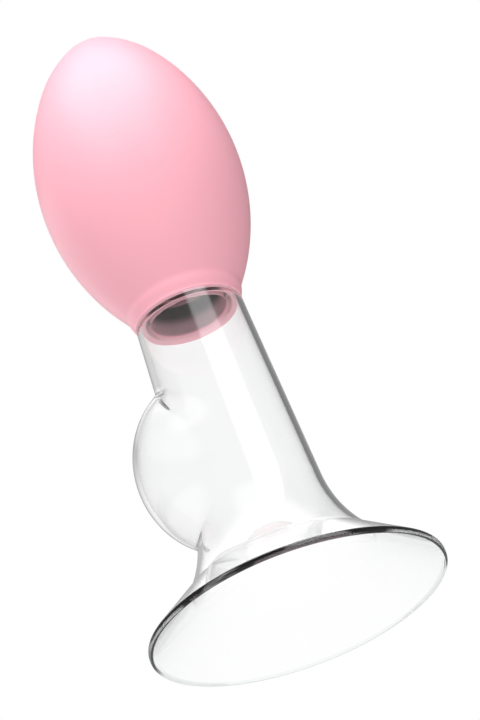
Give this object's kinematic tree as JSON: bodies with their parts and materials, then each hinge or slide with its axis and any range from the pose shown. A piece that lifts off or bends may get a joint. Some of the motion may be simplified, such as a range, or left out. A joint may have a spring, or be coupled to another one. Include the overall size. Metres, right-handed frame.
{
  "type": "hand suction cup",
  "caption": "Clear glass suction cup with a flared mouth, straight neck and side reservoir, worked by a soft egg-shaped silicone squeeze bulb that plugs on to the neck.",
  "frame": {"origin": "centre of the flat rim face of the cup's mouth, on the plane the cup stands on", "axes": "+Z along the cup's axis from the mouth to the bulb's crown, -X towards the side reservoir, the bulb is pressed along Y"},
  "size_m": [0.08, 0.08, 0.1786],
  "materials": {
    "clear_glass": "polished clear glass",
    "pink_silicone": "satin moulded silicone"
  },
  "bodies": {
    "cup": {"cup": "clear_glass"},
    "bulb": {"bulb_shell": "pink_silicone"},
    "thumb_side": {"bulb_thumb_wall": "pink_silicone"},
    "finger_side": {"bulb_finger_wall": "pink_silicone"}
  },
  "joints": [
    {"name": "bulb_pull_off", "type": "slide", "parent": "cup", "child": "bulb", "axis": [0, 0, 1], "range_m": [0, 0.016]},
    {"name": "thumb_squeeze", "type": "slide", "parent": "bulb", "child": "thumb_side", "axis": [0, 1, 0], "range_m": [0, 0.013], "stiffness_N_per_m": 300},
    {"name": "finger_squeeze", "type": "slide", "parent": "bulb", "child": "finger_side", "axis": [0, -1, 0], "range_m": [0, 0.013], "stiffness_N_per_m": 300}
  ],
  "couplings": [
    {"joint": "finger_squeeze", "follows": "thumb_squeeze", "ratio": 1}
  ]
}
